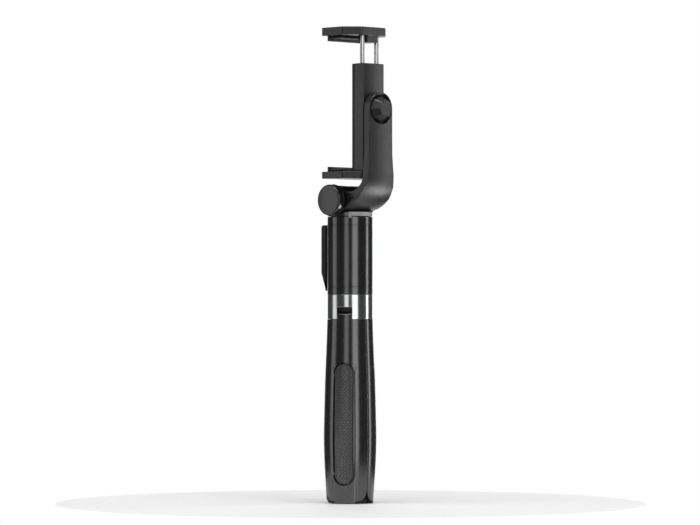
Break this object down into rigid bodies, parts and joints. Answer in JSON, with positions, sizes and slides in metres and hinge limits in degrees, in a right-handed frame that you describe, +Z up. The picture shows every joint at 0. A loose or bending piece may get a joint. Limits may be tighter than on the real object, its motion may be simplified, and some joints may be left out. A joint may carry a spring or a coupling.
{
  "type": "tripod selfie stick",
  "caption": "Telescopic selfie stick with a fold-out tripod handle, tilting arm, turning sprung phone clamp and pull-off remote.",
  "frame": {"origin": "centre of the flat end plug at the bottom of the closed handle, on the stick's axis", "axes": "+Z up the stick from handle to clamp, -Y towards the phone's screen side and the remote, +X to the right when looking along +Y"},
  "size_m": [0.0335, 0.0447, 0.258],
  "materials": {
    "gloss_black": "semi-gloss moulded",
    "satin_black": "satin moulded",
    "inner_black": "matt moulded",
    "soft_rubber": "soft, textured",
    "bright_chrome": "polished",
    "steel": "plain",
    "grey_plate": "light grey satin",
    "circuit_board": "lacquered board",
    "indicator": "clear tinted"
  },
  "bodies": {
    "base": {"pole_tube_1": "bright_chrome", "pole_end_plug": "inner_black", "hub_core": "inner_black", "hub_ring": "bright_chrome", "leg_hinge_pin_1": "steel", "leg_hinge_pin_2": "steel", "leg_hinge_pin_3": "steel"},
    "leg_1": {"leg_shell_1": "gloss_black", "leg_liner_1": "inner_black", "leg_grip_1": "soft_rubber"},
    "leg_2": {"leg_shell_2": "gloss_black", "leg_liner_2": "inner_black", "leg_grip_2": "soft_rubber"},
    "leg_3": {"leg_shell_3": "gloss_black", "leg_liner_3": "inner_black", "leg_grip_3": "soft_rubber"},
    "tube_2": {"pole_tube_2": "bright_chrome", "pole_glide_2": "inner_black"},
    "tube_3": {"pole_tube_3": "bright_chrome", "pole_glide_3": "inner_black"},
    "tube_4": {"pole_tube_4": "bright_chrome", "pole_glide_4": "inner_black"},
    "tube_5": {"pole_tube_5": "bright_chrome", "pole_glide_5": "inner_black"},
    "barrel": {"pole_tube_6": "bright_chrome", "pole_glide_6": "inner_black", "barrel_shell": "gloss_black", "barrel_core": "inner_black", "barrel_top_plate": "grey_plate", "tilt_lug": "satin_black", "lug_cross_pin": "steel"},
    "arm": {"arm": "satin_black", "tilt_bolt": "steel", "tilt_collar": "inner_black", "tilt_knob": "gloss_black", "tilt_nut": "gloss_black", "roll_washer": "steel", "roll_bolt": "steel", "roll_knob": "satin_black"},
    "clamp": {"clamp_cover": "satin_black", "clamp_case": "satin_black", "back_pad": "soft_rubber", "rod_guide": "inner_black", "lower_jaw": "satin_black", "lower_jaw_pad": "soft_rubber", "jaw_screw_1": "steel", "jaw_screw_2": "steel", "clamp_spring": "steel"},
    "top_jaw": {"top_jaw": "satin_black", "top_jaw_pad": "soft_rubber", "rod_bridge": "inner_black", "clamp_rod_1": "bright_chrome", "clamp_rod_2": "bright_chrome"},
    "remote": {"remote_back": "gloss_black", "remote_front": "gloss_black", "remote_board": "circuit_board", "remote_cell": "steel", "remote_lens": "indicator"},
    "remote_button": {"remote_button": "satin_black"}
  },
  "joints": [
    {"name": "leg_1_fold", "type": "hinge", "parent": "base", "child": "leg_1", "pos_m": [0, -0.0105, 0.1012], "axis": [-1, 0, 0], "range_deg": [0, 70]},
    {"name": "leg_2_fold", "type": "hinge", "parent": "base", "child": "leg_2", "pos_m": [0.00909, 0.00525, 0.1012], "axis": [0.5, -0.866, 0], "range_deg": [0, 70]},
    {"name": "leg_3_fold", "type": "hinge", "parent": "base", "child": "leg_3", "pos_m": [-0.00909, 0.00525, 0.1012], "axis": [0.5, 0.866, 0], "range_deg": [0, 70]},
    {"name": "tube_2_slide", "type": "slide", "parent": "base", "child": "tube_2", "axis": [0, 0, 1], "range_m": [0, 0.098]},
    {"name": "tube_3_slide", "type": "slide", "parent": "tube_2", "child": "tube_3", "axis": [0, 0, 1], "range_m": [0, 0.098]},
    {"name": "tube_4_slide", "type": "slide", "parent": "tube_3", "child": "tube_4", "axis": [0, 0, 1], "range_m": [0, 0.098]},
    {"name": "tube_5_slide", "type": "slide", "parent": "tube_4", "child": "tube_5", "axis": [0, 0, 1], "range_m": [0, 0.098]},
    {"name": "barrel_slide", "type": "slide", "parent": "tube_5", "child": "barrel", "axis": [0, 0, 1], "range_m": [0, 0.098]},
    {"name": "arm_tilt", "type": "hinge", "parent": "barrel", "child": "arm", "pos_m": [0, 0, 0.1644], "axis": [1, 0, 0], "range_deg": [0, 90]},
    {"name": "clamp_turn", "type": "hinge", "parent": "arm", "child": "clamp", "pos_m": [0, 0.0186, 0.2135], "axis": [0, 1, 0], "range_deg": [-90, 90]},
    {"name": "jaw_slide", "type": "slide", "parent": "clamp", "child": "top_jaw", "axis": [0, 0, 1], "range_m": [-0.011, 0.01], "deforming": ["clamp_spring"]},
    {"name": "remote_pull", "type": "slide", "parent": "barrel", "child": "remote", "axis": [0, -1, 0], "range_m": [0, 0.012]},
    {"name": "button_press", "type": "slide", "parent": "remote", "child": "remote_button", "axis": [0, 1, 0], "range_m": [0, 0.0008], "stiffness_N_per_m": 500}
  ]
}
